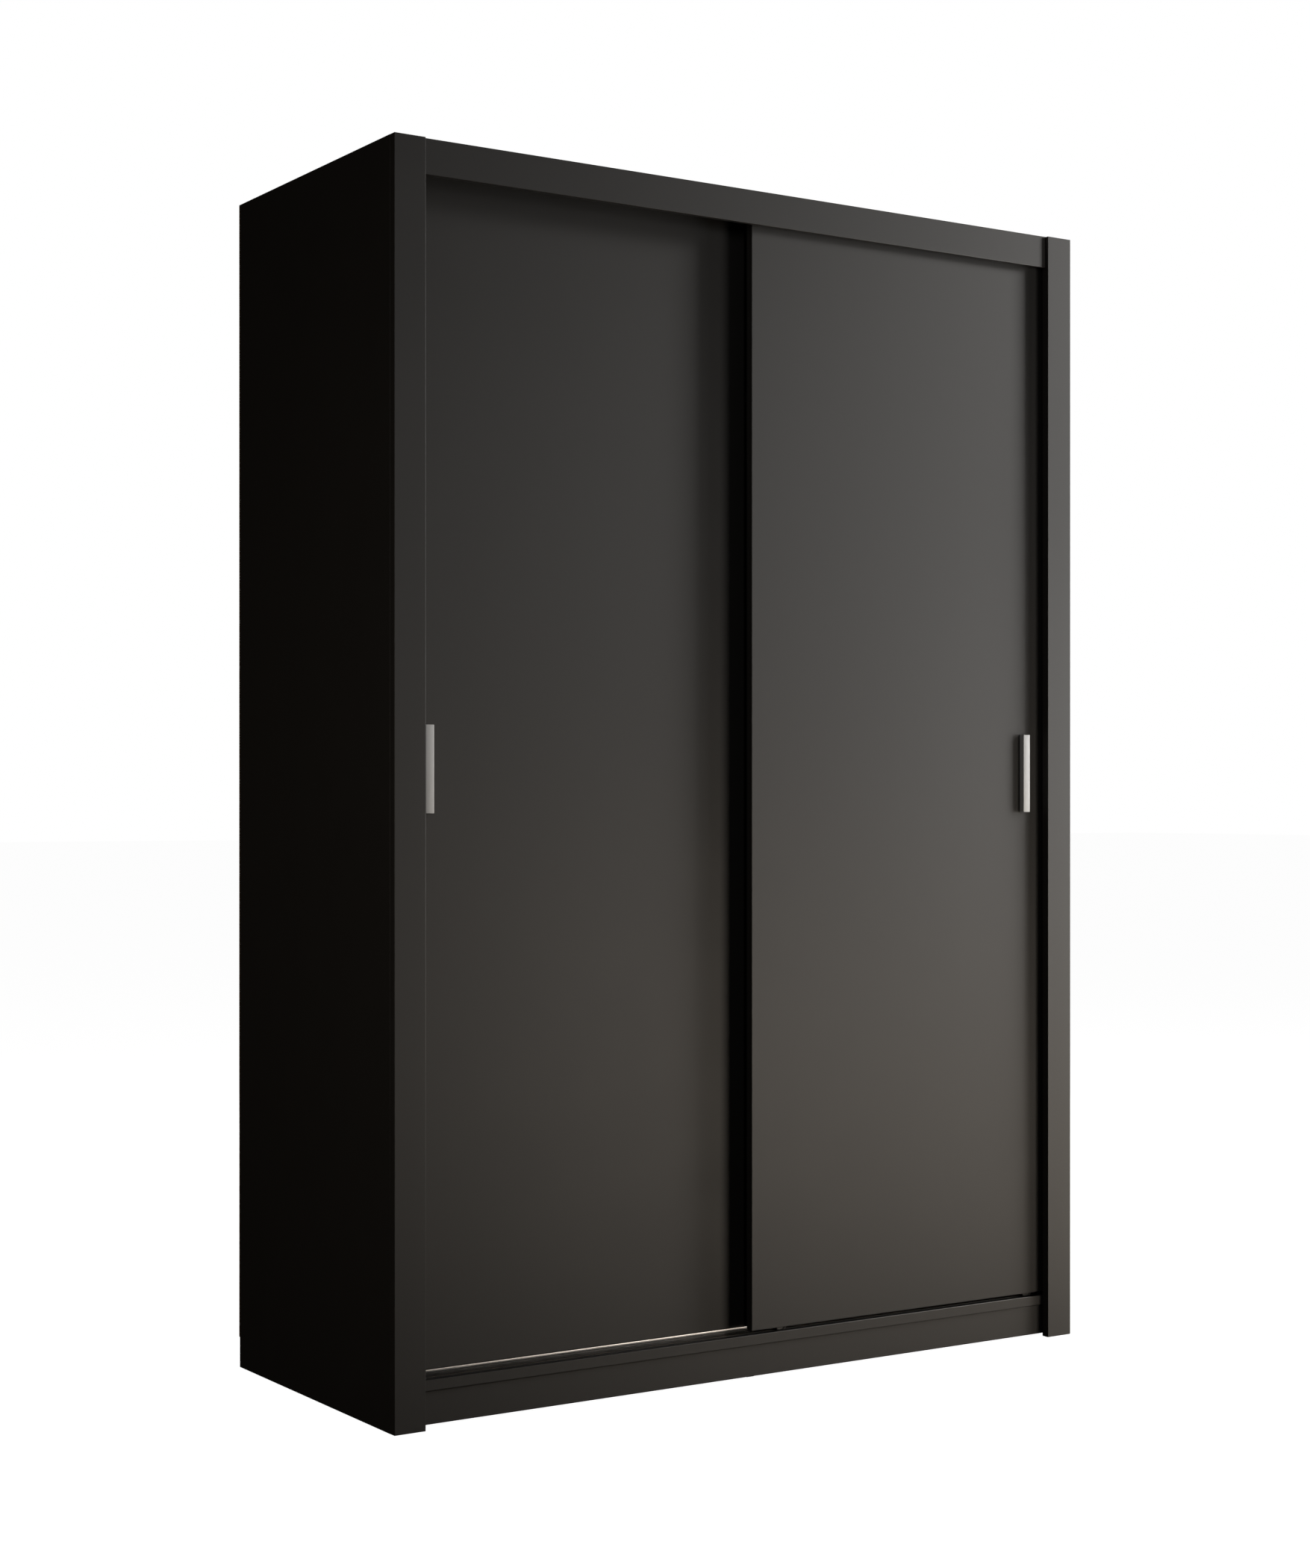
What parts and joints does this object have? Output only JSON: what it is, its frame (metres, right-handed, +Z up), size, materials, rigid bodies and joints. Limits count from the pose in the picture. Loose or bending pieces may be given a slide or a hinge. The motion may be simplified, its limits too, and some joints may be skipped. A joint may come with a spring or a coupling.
{
  "type": "wardrobe with sliding doors",
  "caption": "Free-standing sliding-door wardrobe in matt black board, with overlapping doors on tracks, bar handles, shelves and a hanging rail.",
  "frame": {"origin": "centre of the footprint, on the floor", "axes": "+Z up, +X to the right seen from the front, +Y from the front towards the back"},
  "size_m": [1.5, 0.612, 2.15],
  "materials": {
    "black_laminate": "matt black laminate on chipboard, fine texture",
    "hardboard": "thin hardboard, painted dark, matt",
    "zinc_steel": "zinc plated steel",
    "die_cast_zinc": "die-cast zinc, dull",
    "beech": "raw beech",
    "chrome_tube": "bright chrome plate",
    "aluminium_track": "satin anodised",
    "black_track": "matt black rigid plastic",
    "bumper_rubber": "soft black rubber",
    "black_plastic": "moulded black plastic",
    "satin_handle": "satin nickel",
    "nylon": "black nylon"
  },
  "bodies": {
    "carcass": {"side_panel_left": "black_laminate", "side_panel_right": "black_laminate", "front_post_left": "black_laminate", "front_post_right": "black_laminate", "fascia": "black_laminate", "top_panel": "black_laminate", "bottom_panel": "black_laminate", "plinth_front": "black_laminate", "plinth_rear": "black_laminate", "centre_brace": "black_laminate", "centre_partition": "black_laminate", "fixed_shelf_left": "black_laminate", "fixed_shelf_right": "black_laminate", "adjustable_shelf_1": "black_laminate", "adjustable_shelf_2": "black_laminate", "adjustable_shelf_3": "black_laminate", "adjustable_shelf_4": "black_laminate", "shelf_pins": "zinc_steel", "back_sheet_left": "hardboard", "back_sheet_right": "hardboard", "back_nails": "zinc_steel", "hanging_rail": "chrome_tube", "rail_socket_inner": "chrome_tube", "rail_socket_outer": "chrome_tube", "rail_socket_screws": "zinc_steel", "top_track": "aluminium_track", "top_track_screws": "zinc_steel", "front_bottom_track": "black_track", "rear_bottom_rail": "aluminium_track", "bottom_track_screws": "zinc_steel", "door_bumpers": "bumper_rubber", "cam_locks": "die_cast_zinc", "cam_bolts": "zinc_steel", "wood_dowels": "beech", "confirmat_screws": "zinc_steel", "corner_blocks": "black_plastic", "corner_block_screws": "zinc_steel", "wall_brackets": "zinc_steel", "wall_bracket_screws": "zinc_steel"},
    "front_door": {"front_door_panel": "black_laminate", "front_door_handle": "satin_handle", "front_door_handle_screws": "zinc_steel", "front_door_roller_housings": "black_plastic", "front_door_axles": "zinc_steel", "front_door_top_guides": "black_plastic", "front_door_guide_screws": "zinc_steel"},
    "rear_door": {"rear_door_panel": "black_laminate", "rear_door_handle": "satin_handle", "rear_door_handle_screws": "zinc_steel", "rear_door_roller_housings": "black_plastic", "rear_door_axles": "zinc_steel", "rear_door_top_guides": "black_plastic", "rear_door_guide_screws": "zinc_steel"},
    "front_door_wheel_left": {"front_door_wheel_left": "nylon"},
    "front_door_wheel_right": {"front_door_wheel_right": "nylon"},
    "rear_door_wheel_left": {"rear_door_wheel_left": "nylon"},
    "rear_door_wheel_right": {"rear_door_wheel_right": "nylon"}
  },
  "joints": [
    {"name": "front_door_slide", "type": "slide", "parent": "carcass", "child": "front_door", "axis": [-1, 0, 0], "range_m": [0, 0.723]},
    {"name": "rear_door_slide", "type": "slide", "parent": "carcass", "child": "rear_door", "axis": [1, 0, 0], "range_m": [0, 0.723]},
    {"name": "front_door_wheel_left_spin", "type": "hinge", "parent": "front_door", "child": "front_door_wheel_left", "pos_m": [0.063, -0.276, 0.0901], "axis": [0, 1, 0], "continuous": true},
    {"name": "front_door_wheel_right_spin", "type": "hinge", "parent": "front_door", "child": "front_door_wheel_right", "pos_m": [0.66, -0.276, 0.0901], "axis": [0, 1, 0], "continuous": true},
    {"name": "rear_door_wheel_left_spin", "type": "hinge", "parent": "rear_door", "child": "rear_door_wheel_left", "pos_m": [-0.66, -0.234, 0.095], "axis": [0, 1, 0], "continuous": true},
    {"name": "rear_door_wheel_right_spin", "type": "hinge", "parent": "rear_door", "child": "rear_door_wheel_right", "pos_m": [-0.063, -0.234, 0.095], "axis": [0, 1, 0], "continuous": true}
  ],
  "couplings": [
    {"joint": "front_door_wheel_left_spin", "follows": "front_door_slide", "rad_per_m": -76.923},
    {"joint": "front_door_wheel_right_spin", "follows": "front_door_slide", "rad_per_m": -76.923},
    {"joint": "rear_door_wheel_left_spin", "follows": "rear_door_slide", "rad_per_m": 76.923},
    {"joint": "rear_door_wheel_right_spin", "follows": "rear_door_slide", "rad_per_m": 76.923}
  ]
}
